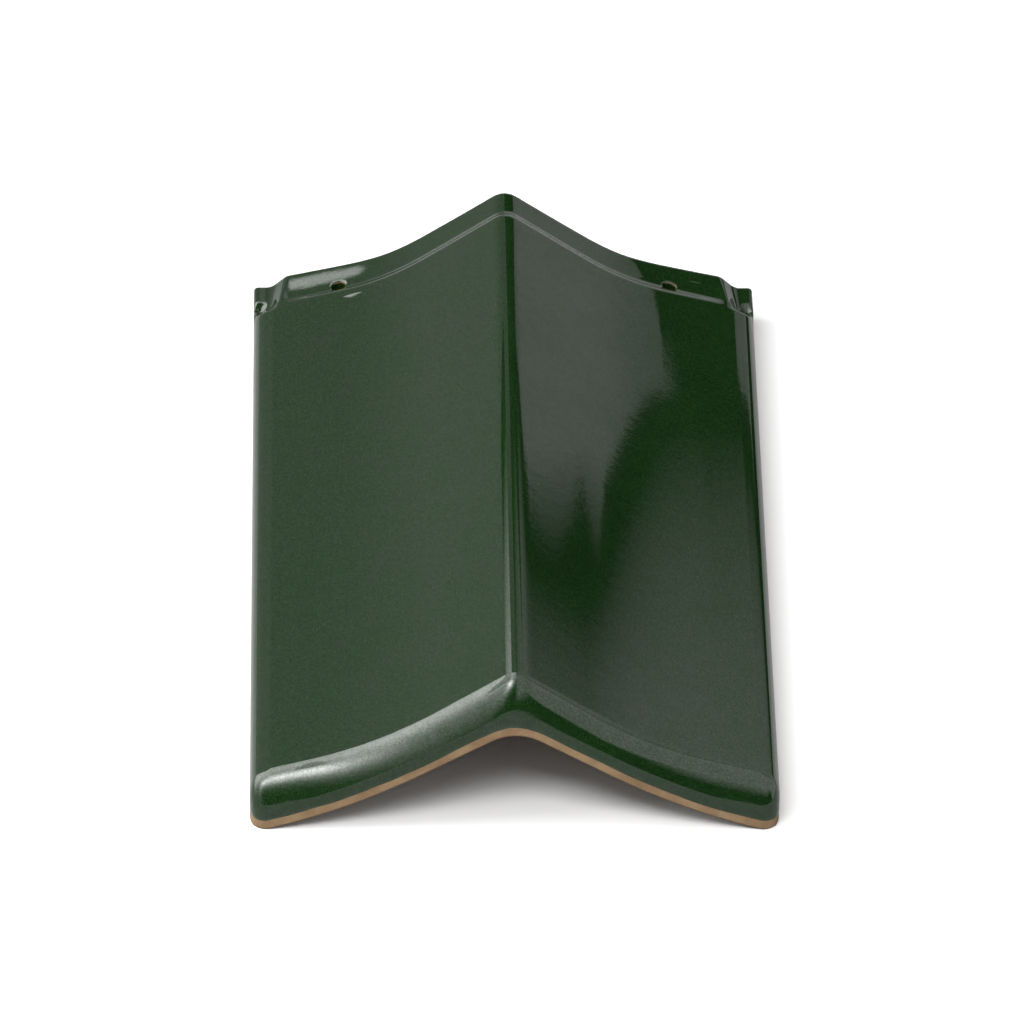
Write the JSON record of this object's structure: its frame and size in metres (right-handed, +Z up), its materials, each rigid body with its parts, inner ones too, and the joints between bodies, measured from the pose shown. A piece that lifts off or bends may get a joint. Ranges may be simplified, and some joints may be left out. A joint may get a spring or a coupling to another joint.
{
  "type": "hip end tile",
  "caption": "Angular glazed clay hip end tile with flared wings, rolled rims, a bare lower edge, a sunk nailing lap with nail holes and low side ledges.",
  "frame": {"origin": "on the plane that the two side rims rest on, under the middle of the tile's bounding box", "axes": "+Z up, +Y along the ridge from the rolled foot to the nailing lap at the head, +X across to the right seen from the foot"},
  "size_m": [0.245, 0.4, 0.083],
  "materials": {
    "glazed_clay": "glossy bottle-green glaze over the outer faces, bare sandy terracotta along the lower edge, in the nail holes and underneath"
  },
  "bodies": {
    "root": {"hip_end_tile": "glazed_clay"}
  },
  "joints": []
}
